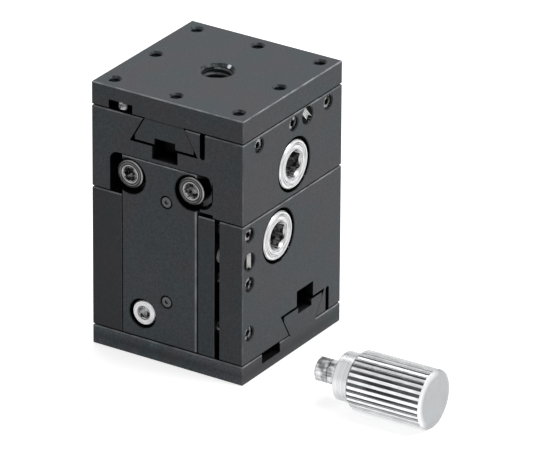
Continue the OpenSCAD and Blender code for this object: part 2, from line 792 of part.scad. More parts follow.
module x_clamp_screw() {
    at_x_row([x_clamp_at]) translate([0, 0, -clamp_sink])
        clamp_screw(x_wall + slit_w - clamp_sink - 0.1, 0);
}

module z_clamp_screw() {
    at_z_row([z_clamp_at]) translate([0, 0, -clamp_sink])
        clamp_screw(z_wall + slit_w - clamp_sink - 0.1, 0);
}

// Counterbore with a chamfered mouth, down from height 0
module counterbore(d, depth) {
    translate([0, 0, -depth]) cylinder(d = d, h = depth + 1);
    translate([0, 0, -mouth_c]) cylinder(d1 = d, d2 = d + 2 * mouth_c + 2 * eps, h = mouth_c + eps);
}

// Places of the three kinds of screw in the slide plate, on its front face, pointing back
module at_front(x, z) {
    translate([x, -half, z]) rotate([90, 0, 0]) children();
}

z_rack_screw_z = [lower_z0 + rack_screw_up, upper_z0 + 0.5];
mount_xs = [plate_x + mount_off - mount_pitch / 2, plate_x + mount_off + mount_pitch / 2];
mount_z = upper_z0 + mount_up;
head_sink = 0.08;
plate_top_c = 0.12;

module slide_plate() {
    h = plate_z1 - plate_z0;
    blunt = 0.3;
    color(black) difference() {
        translate([plate_x, -half, plate_z0]) linear_extrude(h) intersection() {
            plate_2d(0, 0, plate_t);
            front_edges_2d();
            translate([-plate_flank(plate_t) + blunt, 0])
                square([2 * plate_flank(plate_t) - 2 * blunt, plate_t]);
        }
        translate([plate_x, -half, plate_z1]) rotate([45, 0, 0])
            cube([2 * plate_w, plate_top_c * sqrt(2), plate_top_c * sqrt(2)], center = true);
        for (x = mount_xs) {
            at_front(x, mount_z - mount_cbore_drop) counterbore(mount_cbore_d, head_h + head_sink);
            at_front(x, mount_z) translate([0, 0, -plate_t - 1])
                cylinder(d = mount_screw_d + 0.2, h = plate_t + 1);
        }
        at_front(z_stop_x, z_stop_z) {
            counterbore(cbore_d, head_h + stop_sink);
            translate([0, 0, -plate_t - 1]) cylinder(d = screw_d + 2 * fit, h = plate_t + 1);
        }
        for (z = z_rack_screw_z) at_front(z_rack_x, z) {
            counterbore(small_cbore_d, small_head_t + 0.1);
            translate([0, 0, -plate_t - 1]) cylinder(d = small_d + 2 * fit, h = plate_t + 1);
        }
    }
}

module z_rack() {
    back = z_drop - pitch_r - plate_t;
    z1 = z_rack_screw_z[1] + 1.6;
    len = z1 - z_rack_z0;
    mid = (z1 + z_rack_z0) / 2;
    color(blackened) difference() {
        translate([z_rack_x, z_drop - pitch_r - half, mid]) rotate([-90, 90, 0])
            rotate([0, 0, 0]) rack_z(len, back, mid);
        for (z = z_rack_screw_z) at_front(z_rack_x, z)
            translate([0, 0, -plate_t - 2]) cylinder(d = small_d + 2 * fit, h = 3);
    }
}

// The Z rack before it is drilled: its teeth point to the pinion
module rack_z(len, back, mid) {
    mirror([0, 0, 1]) rack_body(len, back, mid - z_pinion[2], -len / 2, len / 2);
}

module z_rack_screws() {
    color(steel) for (z = z_rack_screw_z) at_front(z_rack_x, z)
        translate([0, 0, -0.1]) difference() {
            union() {
                translate([0, 0, -small_head_t]) cylinder(d = small_head_d, h = small_head_t);
                translate([0, 0, -plate_t - small_grip]) cylinder(d = small_d, h = plate_t + small_grip);
            }
            translate([0, 0, -0.2]) cylinder(d = 0.6 / cos(30), h = 1, $fn = 6);
        }
}

module z_stop_screw() {
    color(silver) at_front(z_stop_x, z_stop_z) translate([0, 0, -stop_sink])
        cap_screw(plate_t - head_h - stop_sink + plate_back_gap + stop_slot_d - 0.3, screw_d, head_d, stop_hex);
}

module block_screws() {
    color(blackened) for (x = mount_xs) at_front(x, mount_z) translate([0, 0, -head_sink])
        cap_screw(plate_t - head_h - head_sink + cap_reach, mount_screw_d, mount_head_d, mount_hex);
}

module upper_block() {
    color(black) difference() {
        block(upper_z0, upper_z1);
        translate([y_tongue_x, 0, upper_z1]) along_y(body_w + 2) guide_2d();
        translate([y_rack_x, 0, upper_z1]) along_y(body_w + 2) rack_groove_2d(y_drop);
        at_y_drive() drive_holes(y_deep);
        at_y_row(y_set) set_hole(screw_d, y_wall + slit_w / 2);
        at_y_row([y_clamp_at]) set_hole(clamp_d, y_wall + slit_w / 2);
        translate([0, -half + (plate_t - 1) / 2, 0]) along_y(plate_t + 1) pocket_2d();
        translate([plate_x, -half, upper_z0 - 1]) linear_extrude(pocket_h)
            plate_2d(plate_flank_gap, plate_flank_gap, plate_t);
        for (x = mount_xs) at_front(x, mount_z)
            translate([0, 0, -plate_t - cap_reach - 0.4])
                cylinder(d = mount_screw_d + 2 * fit, h = cap_reach + 0.6);
        translate([z_rack_x - groove_w / 2, -half + plate_t - eps, upper_z0 - 1])
            cube([groove_w, z_drop - pitch_r + rack_add + groove_gap - plate_t, 3.6]);
        for (s = [-1, 1]) translate([y_stop_x, s * y_pin_at, upper_z1 - pin_seat])
            cylinder(d = stop_pin_d + 2 * fit, h = pin_seat + 1);
    }
}

module y_bush() {
    at_y_drive() drive_bush(y_deep);
}

module y_friction_washer() {
    at_y_drive() drive_washer();
}

module y_set_screws() {
    color(blackened) at_y_row(y_set) translate([0, 0, -set_sink])
        set_screw(screw_d, y_wall + slit_w - set_sink, 0.9);
}

module y_stop_pins() {
    color(steel) for (s = [-1, 1]) translate([y_stop_x, s * y_pin_at, upper_z1 - pin_seat])
        cylinder(d = stop_pin_d, h = pin_seat + seam + stop_groove_d - stop_tip_gap);
}

module y_shaft() {
    at_y_drive() drive_shaft(y_deep);
}

module y_drive_pinion() {
    at_y_drive() drive_pinion(y_deep, 180);
}

module y_clamp_screw() {
    at_y_row([y_clamp_at]) translate([0, 0, -clamp_sink])
        clamp_screw(y_wall + slit_w - clamp_sink - 0.1, y_clamp_turn);
}

module top_plate() {
    color(black) difference() {
        union() {
            block(top_z0, top_z1);
            translate([y_tongue_x, 0, upper_z1]) along_y(body_w) tongue_2d();
        }
        translate([y_rack_x, 0, upper_z1]) along_y(body_w + 2) rack_seat_2d();
        translate([y_stop_x - y_groove_w / 2, -half - 1, top_z0 - 1])
            cube([y_groove_w, body_w + 2, stop_groove_d + 1]);
        for (s = [-1, 1]) {
            translate([y_stop_x, s * y_stop_at, top_z0]) cylinder(d = stop_screw_d + 2 * fit, h = y_stop_len + stop_tip_gap + 0.1);
            translate([y_rack_x, s * land_at, top_z0 - dove_h + rack_seat - 0.4])
                cylinder(d = small_d + 2 * fit, h = 2);
        }
        for (x = [-1 : 1], y = [-1 : 1]) if (x != 0 || y != 0)
            translate([x * hole_pitch / 2, y * hole_pitch / 2, top_z1 - hole_depth]) {
                cylinder(d = hole_d, h = hole_depth + 1);
                translate([0, 0, hole_depth - hole_c])
                    cylinder(d1 = hole_d, d2 = hole_d + 2 * (hole_c + eps), h = hole_c + eps);
            }
        translate([0, 0, top_z1 - centre_depth]) {
            cylinder(d = centre_d, h = centre_depth + 1);
            translate([0, 0, centre_depth - centre_c])
                cylinder(d1 = centre_d, d2 = centre_d + 2 * (centre_c + eps), h = centre_c + eps);
        }
    }
}

module y_rack() {
    color(blackened) translate([y_rack_x, 0, y_pinion[2] + pitch_r]) rotate([0, 0, 90])
        screwed_rack(y_drop, y_pinion[1]);
}

module y_rack_screws() {
    color(steel) translate([y_rack_x, 0, y_pinion[2] + pitch_r]) rotate([0, 0, 90])
        rack_screws(y_drop);
}

module y_stop_screws() {
    color(silver) for (s = [-1, 1])
        translate([y_stop_x, s * y_stop_at, top_z0 + stop_tip_gap])
            mirror([0, 0, 1]) set_screw(stop_screw_d, y_stop_len, 0.7);
}

// The knob lies on its grip; its cap end is at 0 and the rest reaches towards -X
module lying_knob() {
    translate([knob_x, -knob_front, knob_d / 2]) rotate([0, 0, knob_turn]) rotate([0, -90, 0])
        children();
}

module knob_grip() {
    r = knob_d / 2;
    collar_r = collar_d / 2;
    color(silver) lying_knob() difference() {
        rotate_extrude() polygon(concat([[0, 0], [r - knob_rim - 0.1, 0]],
            [for (a = [15 : 15 : 75]) [r - knob_rim * (1 - sin(a)), knob_rim_len * (1 - cos(a))]],
            [[r, knob_rim_len], [r, knob_len - 0.4], [r - 0.4, knob_len],
            [collar_r, knob_len], [collar_r, knob_len + collar_len - 0.15],
            [collar_r - 0.15, knob_len + collar_len], [0, knob_len + collar_len]]));
        for (i = [0 : knob_flutes - 1]) rotate([0, 0, i * 360 / knob_flutes])
            translate([r - 0.02, 0, knob_band]) cylinder(d = flute_w, h = knob_len, $fn = 16);
        translate([0, 0, knob_len - key_in]) cylinder(d = hex_af, h = collar_len + key_in + 1);
    }
}

module knob_key() {
    root = knob_len + collar_len;
    color(steel) lying_knob() difference() {
        union() {
            translate([0, 0, knob_len - key_in]) cylinder(d = hex_af - 2 * fit, h = collar_len + key_in);
            translate([0, 0, root]) intersection() {
                cylinder(d = hex_af / cos(30), h = key_out, $fn = 6);
                rotate_extrude() polygon([[0, 0], [hex_af, 0], [hex_af, key_out - 1],
                    [hex_af * 0.53, key_out - 0.15], [hex_af * 0.53 - 0.15, key_out], [0, key_out]]);
            }
        }
    }
}

base_plate();
x_rack();
x_rack_screws();
x_stop_pins();
lower_block();
x_stop_screws();
x_bush();
x_friction_washer();
x_set_screws();
z_bush();
z_friction_washer();
z_set_screws();
x_shaft();
x_drive_pinion();
z_shaft();
z_drive_pinion();
x_clamp_screw();
z_clamp_screw();
slide_plate();
z_rack();
z_rack_screws();
z_stop_screw();
block_screws();
upper_block();
y_bush();
y_friction_washer();
y_set_screws();
y_stop_pins();
y_shaft();
y_drive_pinion();
y_clamp_screw();
top_plate();
y_rack();
y_rack_screws();
y_stop_screws();
knob_grip();
knob_key();
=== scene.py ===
"""Looks of the three-axis dovetail stage: materials, light and the photograph's view."""
import math

import bmesh
import bpy
from mathutils import Matrix, Vector


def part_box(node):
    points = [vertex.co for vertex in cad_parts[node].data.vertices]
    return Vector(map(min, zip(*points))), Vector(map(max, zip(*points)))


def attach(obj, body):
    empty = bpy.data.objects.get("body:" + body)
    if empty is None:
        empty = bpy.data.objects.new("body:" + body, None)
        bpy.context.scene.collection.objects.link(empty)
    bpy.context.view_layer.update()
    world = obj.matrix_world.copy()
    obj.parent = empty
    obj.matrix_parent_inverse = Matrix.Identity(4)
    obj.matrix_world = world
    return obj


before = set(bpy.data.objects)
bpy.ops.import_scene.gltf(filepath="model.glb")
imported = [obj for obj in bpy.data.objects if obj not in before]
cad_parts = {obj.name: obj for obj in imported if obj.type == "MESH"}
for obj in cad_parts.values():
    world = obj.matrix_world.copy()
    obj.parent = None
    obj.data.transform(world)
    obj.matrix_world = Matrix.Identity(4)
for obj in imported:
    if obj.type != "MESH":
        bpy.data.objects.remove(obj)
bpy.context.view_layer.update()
MM = 0.001


# Camera: a long lens above the front right corner, at the photograph's angle
CAM_AT = Vector((490.918, -745.214, 436.686)) * MM
CAM_RIGHT = Vector((0.838264, 0.545240, 0.005167))
CAM_UP = Vector((-0.236197, 0.354560, 0.904709))
LENS, SENSOR = 472.67, 36.0


def make_camera():
    data = bpy.data.cameras.new("camera")
    data.lens = LENS
    data.sensor_width = SENSOR
    data.clip_start, data.clip_end = 0.01, 20.0
    cam = bpy.data.objects.new("camera", data)
    bpy.context.collection.objects.link(cam)
    back = CAM_RIGHT.cross(CAM_UP)
    rows = [list(row) for row in zip(CAM_RIGHT, CAM_UP, back)]
    cam.matrix_world = Matrix.Translation(CAM_AT) @ Matrix(rows).to_4x4()
    bpy.context.scene.camera = cam


# A 45 degree face: the largest part of its normal, how far it may be off, and the least part if straight
SLANT, SLANT_OFF, STRAIGHT_OFF = 0.7071, 0.012, 0.003
# Painted shade in hollows: range of the occlusion, the darkest share, and the heights over which the
# floor stops counting
AO_RANGE, AO_DARK, FLOOR_FADE = (0.68, 0.97), 0.985, (0.0004, 0.0016)


class Graph:
    """Short helpers round one material's node tree."""

    def __init__(self, name):
        self.mat = bpy.data.materials.new(name)
        self.mat.use_nodes = True
        self.tree = self.mat.node_tree
        self.shader = self.tree.nodes["Principled BSDF"]
        coord = self.tree.nodes.new("ShaderNodeTexCoord")
        self.place = coord.outputs["Object"]
        self.normal = coord.outputs["Normal"]

    def link(self, source, target):
        if hasattr(source, "is_linked"):
            self.tree.links.new(source, target)
        else:
            target.default_value = source

    def math(self, op, a, b=0.0):
        node = self.tree.nodes.new("ShaderNodeMath")
        node.operation = op
        self.link(a, node.inputs[0])
        self.link(b, node.inputs[1])
        return node.outputs[0]

    def split(self, vector):
        node = self.tree.nodes.new("ShaderNodeSeparateXYZ")
        self.link(vector, node.inputs[0])
        return node.outputs

    def scaled(self, vector, size):
        node = self.tree.nodes.new("ShaderNodeMapping")
        node.inputs["Scale"].default_value = size
        self.link(vector, node.inputs["Vector"])
        return node.outputs[0]

    def noise(self, scale, detail=3.0, vector=None):
        node = self.tree.nodes.new("ShaderNodeTexNoise")
        node.inputs["Scale"].default_value = scale
        node.inputs["Detail"].default_value = detail
        self.link(vector or self.place, node.inputs["Vector"])
        return node.outputs[0]

    def ramp(self, value, low, high, out_low, out_high):
        node = self.tree.nodes.new("ShaderNodeMapRange")
        self.link(value, node.inputs[0])
        for index, number in enumerate((low, high, out_low, out_high)):
            node.inputs[index + 1].default_value = number
        return node.outputs[0]

    def mix(self, amount, a, b):
        node = self.tree.nodes.new("ShaderNodeMix")
        node.data_type = "RGBA"
        self.link(amount, node.inputs["Factor"])
        for value, slot in ((a, 6), (b, 7)):
            self.link((*value, 1.0) if isinstance(value, tuple) else value, node.inputs[slot])
        return node.outputs[2]

    def bump(self, height, strength, distance):
        node = self.tree.nodes.new("ShaderNodeBump")
        node.inputs["Strength"].default_value = strength
        node.inputs["Distance"].default_value = distance
        self.link(height, node.inputs["Height"])
        self.link(node.outputs[0], self.shader.inputs["Normal"])

    def vector(self, x, y, z):
        node = self.tree.nodes.new("ShaderNodeCombineXYZ")
        for value, target in zip((x, y, z), node.inputs):
            self.link(value, target)
        return node.outputs[0]

    def bands(self, value, stops):
        """Grey tones along value, from a list of (place, tone)."""
        node = self.tree.nodes.new("ShaderNodeValToRGB")
        self.link(value, node.inputs[0])
        points = node.color_ramp.elements
        while len(points) < len(stops):
            points.new(0.5)
        for point, (place, tone) in zip(points, stops):
            point.position = place
            point.color = (tone, tone, tone, 1)
        return self.split(node.outputs[0])[0]

    def shaded(self, colour, amount):
        """The colour times an amount, which may be more than 1."""
        node = self.tree.nodes.new("ShaderNodeVectorMath")
        node.operation = "SCALE"
        self.link(colour, node.inputs[0])
        self.link(amount, node.inputs["Scale"])
        return node.outputs[0]

    def painted_hollow_shade(self, reach):
        """Painted shade: 1 on open faces, near 0 in grooves, holes and gaps; the floor isn't counted."""
        node = self.tree.nodes.new("ShaderNodeAmbientOcclusion")
        node.samples = 8
        node.inputs["Distance"].default_value = reach
        shade = self.ramp(node.outputs["AO"], *AO_RANGE, AO_DARK, 0)
        height = self.split(self.place)[2]
        shade = self.math("MULTIPLY", shade, self.ramp(height, *FLOOR_FADE, 0, 1))
        return self.math("SUBTRACT", 1.0, shade)

    def slanted(self):
        """Two masks: faces at 45 degrees (chamfers, countersinks), and the straight ones of them."""
        x, y, z = (self.math("ABSOLUTE", c) for c in self.split(self.normal))
        top = self.math("MAXIMUM", self.math("MAXIMUM", x, y), z)
        off = self.math("ABSOLUTE", self.math("SUBTRACT", top, SLANT))
        slant = self.math("LESS_THAN", off, SLANT_OFF)
        least = self.math("MINIMUM", self.math("MINIMUM", x, y), z)
        return slant, self.math("MULTIPLY", slant, self.math("LESS_THAN", least, STRAIGHT_OFF))

    def times(self, *values):
        last = values[0]
        for value in values[1:]:
            last = self.math("MULTIPLY", last, value)
        return last

    def masked(self, mask, value):
        """value where the mask is 1, and 1 elsewhere."""
        if isinstance(value, float):
            return self.ramp(mask, 0, 1, 1, value)
        return self.math("ADD", self.times(mask, self.math("SUBTRACT", value, 1.0)), 1.0)


# Depth of the fine relief on every metal, and of the turned rings
GRAIN_DEPTH, RING_DEPTH = 0.00002, 0.000006
# Threaded holes of the top plate, whose visible walls get painted stripes of light and shade for the
# thread: height range of those walls and the half width of their field
WALL_Z = (0.0384, 0.03975)
WALL_FIELD = 0.012
THREAD_STEP = 0.0004
# Painted shade line along the foot of the bodies, over the seams: height of each foot, height of the
# line
FOOT_Z = {"lower_block": 0.003, "upper_block": 0.0242, "top_plate": 0.03655}
FOOT_LINE = 0.00012
# Painted glint where the thread of the middle hole starts: its place, its size and its tone
GLINT, GLINT_R, GLINT_TONE = (0.00044, 0.00238), (0.0002, 0.0004), (0.8, 0.81, 0.82)
# Painted highlight line at the right of the slide plate's front face: its width, its strength, and the
# width of the outer edges that keep their painted highlights
RIDGE_W, RIDGE_HIGHLIGHT, HIGHLIT_EDGE_W = 0.00016, 0.55, 0.0003


def anodised(node, tone, edge_highlight, rough, seed, front, left):
    """Black anodised aluminium: satin, finely blasted, with painted highlights along its upper edges and
    painted shade in its hollows and seams.

    front and left are the factors of painted light and shade on the right and the left part of the front
    faces.
    """
    g = Graph("anodised_" + node)
    g.shader.inputs["Specular IOR Level"].default_value = 0.2
    moved = g.scaled(g.place, (1, 1, 1))
    moved.node.inputs["Location"].default_value = (seed, seed * 0.7, seed * 1.3)
    cloud = g.noise(75, 4, moved)
    drift = g.noise(170, 3, g.scaled(moved, (1.3, 0.8, 1)))
    grain = g.noise(4200, 2, moved)
    lines = g.noise(900, 2, g.scaled(moved, (1, 1, 7)))
    patch_noise = g.noise(420, 3, moved)
    cool = tuple(c * k for c, k in zip(tone, (0.86, 1.02, 1.05)))
    warm = tuple(c * k for c, k in zip(tone, (1.12, 0.96, 1.03)))
    base = g.mix(g.ramp(drift, 0.38, 0.62, 0, 1), cool, warm)
    px, py, pz = g.split(g.place)
    x, y, z = g.split(g.normal)
    slant, straight = g.slanted()
    facing = g.ramp(y, -0.98, -0.9, 1, 0)
    light = g.times(
        g.ramp(cloud, 0.3, 0.7, 0.92, 1.08),
        g.ramp(grain, 0.3, 0.7, 0.6, 1.4),
        g.ramp(g.noise(650, 2, moved), 0.68, 0.74, 1, 1.5),
        # Painted light and shade on the front faces, graded from left to right
        g.masked(facing, g.ramp(px, -0.0125, 0.006, left, front)),
        # Painted light: faces that look up are lighter
        g.ramp(z, 0.9, 0.98, 1, 1.08),
        # Painted shade on chamfers that face down
        g.masked(g.math("MULTIPLY", slant, g.ramp(z, -0.3, -0.6, 0, 1)), 0.12),
        # Painted light: front faces lighter towards their foot
        g.masked(facing, g.ramp(pz, 0.003, 0.02, 1.25, 1.0)),
        # Painted shade in grooves, holes and gaps
        g.painted_hollow_shade(0.003),
    )
    # Painted shade line over the seams, along the foot of each body
    if node in FOOT_Z:
        off = g.math("ABSOLUTE", g.math("SUBTRACT", pz, FOOT_Z[node]))
        foot = g.times(g.math("LESS_THAN", off, FOOT_LINE),
                       g.math("LESS_THAN", g.math("ABSOLUTE", z), 0.1))
        light = g.times(light, g.masked(foot, 0.12))
    # Countersinks and upward chamfers: mottled, with painted shade on faces towards the front and
    # painted light on faces towards the back
    cone = g.times(slant, g.ramp(z, 0.3, 0.6, 0, 1), g.math("SUBTRACT", 1.0, straight))
    mottled = g.ramp(g.noise(1900, 2, moved), 0.42, 0.56, 0.25, 1.6)
    light = g.math("ADD", g.times(light, g.math("SUBTRACT", 1.0, cone)),
                   g.times(cone, mottled, g.ramp(y, -0.7, 0.7, 0.75, 1.3)))
    # Visible walls of the threaded holes: painted stripes of light and shade for the thread, in place of
    # the painted shade of the hollows
    inner = g.times(
        g.math("GREATER_THAN", pz, WALL_Z[0]), g.math("LESS_THAN", pz, WALL_Z[1]),
        g.math("LESS_THAN", g.math("ABSOLUTE", px), WALL_FIELD),
        g.math("LESS_THAN", g.math("ABSOLUTE", py), WALL_FIELD),
        g.math("LESS_THAN", g.math("ABSOLUTE", z), 0.1))
    turns = g.math("SINE", g.math("MULTIPLY", pz, 2 * math.pi / THREAD_STEP))
    thread_stripes = g.ramp(turns, -0.2, 0.5, 0.25, 1.5)
    walls = g.times(thread_stripes, g.ramp(patch_noise, 0.35, 0.6, 0.6, 1.3))
    light = g.math("ADD", g.times(light, g.math("SUBTRACT", 1.0, inner)), g.times(walls, inner))
    base = g.shaded(base, light)
    # Painted highlights on straight chamfers facing up, and on side chamfers facing right, in patches
    highlight_patches = g.ramp(patch_noise, 0.3, 0.62, 0.35, 1)
    upper = g.times(straight, g.ramp(z, 0.3, 0.6, 0, 1), highlight_patches)
    beside = g.times(straight, g.ramp(g.math("ABSOLUTE", z), 0.1, 0.2, 1, 0),
                     g.ramp(x, 0.3, 0.6, 0, 0.45), g.ramp(y, 0, 0.1, 1, 0.2), highlight_patches)
    pale = g.math("MAXIMUM", upper, beside)
    # Slide plate: painted highlights kept to its outer edges, and a painted highlight line down the
    # right of its front face
    if node == "slide_plate":
        right, top = front_edge(node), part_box(node)[1][2]
        outer = g.math("MAXIMUM", g.math("GREATER_THAN", px, right - HIGHLIT_EDGE_W),
                       g.math("GREATER_THAN", pz, top - HIGHLIT_EDGE_W))
        ridge = g.times(facing, g.math("GREATER_THAN", px, right - RIDGE_W), highlight_patches)
        pale = g.math("MAXIMUM", g.times(pale, outer), g.math("MULTIPLY", ridge, RIDGE_HIGHLIGHT))
    base = g.mix(pale, base, edge_highlight)
    # Painted glint on the countersink where the middle hole's thread starts
    aside = [g.math("SUBTRACT", spot, place) for spot, place in zip((px, py), GLINT)]
    glint = g.ramp(g.math("SQRT", g.math("ADD", *(g.times(v, v) for v in aside))), *GLINT_R, 1, 0)
    base = g.mix(g.times(glint, cone), base, GLINT_TONE)
    g.link(base, g.shader.inputs["Base Color"])
    satin = g.ramp(g.math("ADD", cloud, grain), 0.6, 1.4, rough - 0.05, rough + 0.07)
    under = g.math("MULTIPLY", slant, g.ramp(z, -0.3, -0.6, 0, 1))
    g.link(g.math("MAXIMUM", satin, under), g.shader.inputs["Roughness"])
    relief = g.math("ADD", g.math("MULTIPLY", grain, 0.6), g.math("MULTIPLY", lines, 0.4))
    g.bump(relief, 0.25, GRAIN_DEPTH)
    return g.mat


def metal(name, tone, edge_highlight, rough, metallic=1.0, fleck=None):
    """Bare or blackened metal with fine grain and painted highlights on its chamfers."""
    g = Graph(name)
    g.shader.inputs["Metallic"].default_value = metallic
    grain = g.noise(2600, 3)
    cloud = g.noise(300, 2)
    base = g.mix(g.ramp(cloud, 0.3, 0.7, 0, 1), tuple(c * 0.8 for c in tone), tone)
    if fleck:
        base = g.mix(g.ramp(g.noise(1500, 2), 0.46, 0.56, 0, 1), base, fleck)
    # Painted highlights on the chamfers
    g.link(g.mix(g.slanted()[0], base, edge_highlight), g.shader.inputs["Base Color"])
    g.link(g.ramp(grain, 0.3, 0.7, rough - 0.06, rough + 0.08), g.shader.inputs["Roughness"])
    g.bump(grain, 0.15, GRAIN_DEPTH)
    return g.mat


def turned(name, rough, centre, axis, radius, bands, facets, twin=0.0, streaks=(0.72, 1.12),
           sharp=0.15, lip=None):
    """Lathe-turned metal: tone bands round the given axis, some of them painted highlights and shade,
    fine rings, and painted glints and shade mottled in its hex socket.

    bands is a list of (share of the radius, tone), the first of them for the socket; facets is the range
    of the painted glints and shade mottled in there; twin is half the distance of two equal screws in X;
    streaks is the range of the swept streaks and sharp half the width of their ramp; lip is where the
    countersink at the socket's mouth ends along the axis.
    """
    g = Graph(name)
    parts = [g.math("SUBTRACT", c, p) for c, p in zip(g.split(g.place), centre)]
    if twin:
        parts[0] = g.math("SUBTRACT", g.math("ABSOLUTE", parts[0]), twin)
    parts.pop("xyz".index(axis))
    away = g.math("SQRT", g.math("ADD", *(g.math("MULTIPLY", p, p) for p in parts)))
    angle = g.math("ARCTAN2", *parts)
    rings = g.math("SINE", g.math("MULTIPLY", away, 2 * math.pi / RING_PITCH))
    mottle = g.noise(1300, 2)
    polar = g.vector(g.math("MULTIPLY", away, 7000), g.math("MULTIPLY", angle, 1.1), 0.0)
    sweep = g.noise(1.0, 3, polar)
    socket = g.math("LESS_THAN", away, bands[0][0] * radius)
    if lip is not None:
        index = "xyz".index(axis)
        steep = g.math("LESS_THAN", g.math("ABSOLUTE", g.split(g.normal)[index]), 0.3)
        deep = g.math("LESS_THAN", g.split(g.place)[index], lip)
        socket = g.times(socket, g.math("MAXIMUM", steep, deep))
    tone = g.times(g.bands(g.math("DIVIDE", away, radius), bands),
                   g.ramp(sweep, SWEEP_MID - sharp, SWEEP_MID + sharp, *streaks),
                   g.masked(socket, g.ramp(mottle, 0.44, 0.56, *facets)))
    g.link(g.shaded((1.0, 1.0, 1.015), tone), g.shader.inputs["Base Color"])
    g.link(g.masked(socket, 0.35), g.shader.inputs["Metallic"])
    g.link(g.ramp(sweep, 0.3, 0.7, rough - 0.05, rough + 0.08), g.shader.inputs["Roughness"])
    g.bump(g.math("ADD", rings, g.math("MULTIPLY", mottle, 0.5)), 0.3, RING_DEPTH)
    return g.mat


def slotted(name, node, axis, across):
    """Dark screw end, its slot painted near white as a highlight, with a bare tip; across is the
    direction over the slot.
    """
    g = Graph(name)
    g.shader.inputs["Specular IOR Level"].default_value = 0.0
    spots = g.split(g.place)
    parts = [g.times(g.math("SUBTRACT", c, p), k) for c, p, k in zip(spots, middle(node), across)]
    over = g.math("ABSOLUTE", g.math("ADD", g.math("ADD", parts[0], parts[1]), parts[2]))
    grain = g.noise(2600, 3)
    painted_highlight = g.ramp(grain, 0.3, 0.7, 0.85, 0.97)
    dark = g.ramp(grain, 0.3, 0.7, 0.006, 0.02)
    index = "xyz".index(axis)
    tip = g.math("LESS_THAN", spots[index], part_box(node)[1][index] - BARE_FROM)
    # The slot is painted near white as a highlight over the dark end
    slot = g.math("LESS_THAN", over, SLOT_W / 2 + SLOT_OVER)
    tone = g.math("ADD", g.times(slot, g.math("SUBTRACT", painted_highlight, dark)), dark)
    tone = g.math("MAXIMUM", tone, g.times(tip, g.ramp(grain, 0.3, 0.7, 0.15, 0.35)))
    g.link(g.shaded((1.0, 1.0, 1.0), tone), g.shader.inputs["Base Color"])
    g.link(g.ramp(grain, 0.3, 0.7, 0.3, 0.45), g.shader.inputs["Roughness"])
    g.bump(grain, 0.15, GRAIN_DEPTH)
    return g.mat


def front_edge(node):
    """Right end of a piece's front face."""
    spots = [v.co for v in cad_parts[node].data.vertices]
    front = min(spot.y for spot in spots)
    return max(spot.x for spot in spots if spot.y < front + 0.00001)


def dress(node, material):
    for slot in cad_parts[node].material_slots:
        slot.material = material


def middle(node):
    low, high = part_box(node)
    return [(a + b) / 2 for a, b in zip(low, high)]


def disc_face(node, axis):
    """Where the outer face of a shaft's disc lies along its axis."""
    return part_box(node)[1]["xyz".index(axis)]


def radius_of(node, axis):
    """Half the greatest width of a turned piece across its axis."""
    low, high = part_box(node)
    return max((b - a) / 2 for name, a, b in zip("xyz", low, high) if name != axis)


# Pitch of the turned rings, and the middle of the swept streaks' noise
RING_PITCH, SWEEP_MID = 0.00013, 0.47
# Head radius of the cap screws; slot of the clamp screws, painted as a highlight, its tolerance, and
# where their bare tip starts
HEAD_R = 0.0021
SLOT_W, SLOT_OVER, BARE_FROM = 0.001, 0.000008, 0.0012
# How far the slot of the Y clamp screw is turned
Y_CLAMP_TURN = math.radians(41)
# Tone over the radius: socket, its countersink, the face with its turned bands, the rim with a painted
# highlight, the side painted near black as shade
DISC_BANDS = ((0.58, 0.5), (0.6, 0.6), (0.64, 0.7), (0.77, 0.72), (0.8, 0.52), (0.85, 0.66),
              (0.92, 0.72), (0.95, 0.9), (0.985, 0.9), (0.99, 0.015))
# Cap screw heads over the radius: the pale rings on the black face are painted highlights
HEAD_BANDS = ((0.53, 0.22), (0.57, 0.2), (0.6, 0.3), (0.63, 0.28), (0.66, 0.03), (0.72, 0.025),
              (0.76, 0.1), (0.8, 0.1), (0.84, 0.02), (0.9, 0.025), (0.915, 0.28), (0.96, 0.28),
              (0.98, 0.05), (0.995, 0.01))
# Bright stop screw over the radius: the pale outer ring is a painted highlight and the dark outer side
# painted shade
CAP_BANDS = ((0.47, 0.6), (0.49, 0.14), (0.53, 0.14), (0.57, 0.5), (0.7, 0.58), (0.84, 0.48),
             (0.88, 0.72), (0.96, 0.72), (0.98, 0.2), (0.995, 0.03))
# Depth at which the countersink of a drive socket ends
DISC_LIP = 0.00045
# Bare flecks on blackened steel
FLECK = (0.3, 0.3, 0.31)
# Tones of the anodised bodies: their faces, and the painted highlights on their edges and on the slide
# plate's edges
BODY, EDGE_HIGHLIGHT, PLATE_EDGE_HIGHLIGHT = (0.034, 0.0385, 0.0425), (0.27, 0.28, 0.295), (0.5, 0.51, 0.53)
# Painted light and shade on the front faces: factors of the tone on their right and on their left
PAINTED_FRONT_LIGHT = {"base_plate": (1.7, 1.6), "lower_block": (0.62, 0.34), "slide_plate": (0.98, 0.98),
          "upper_block": (0.9, 0.88), "top_plate": (0.8, 0.8)}


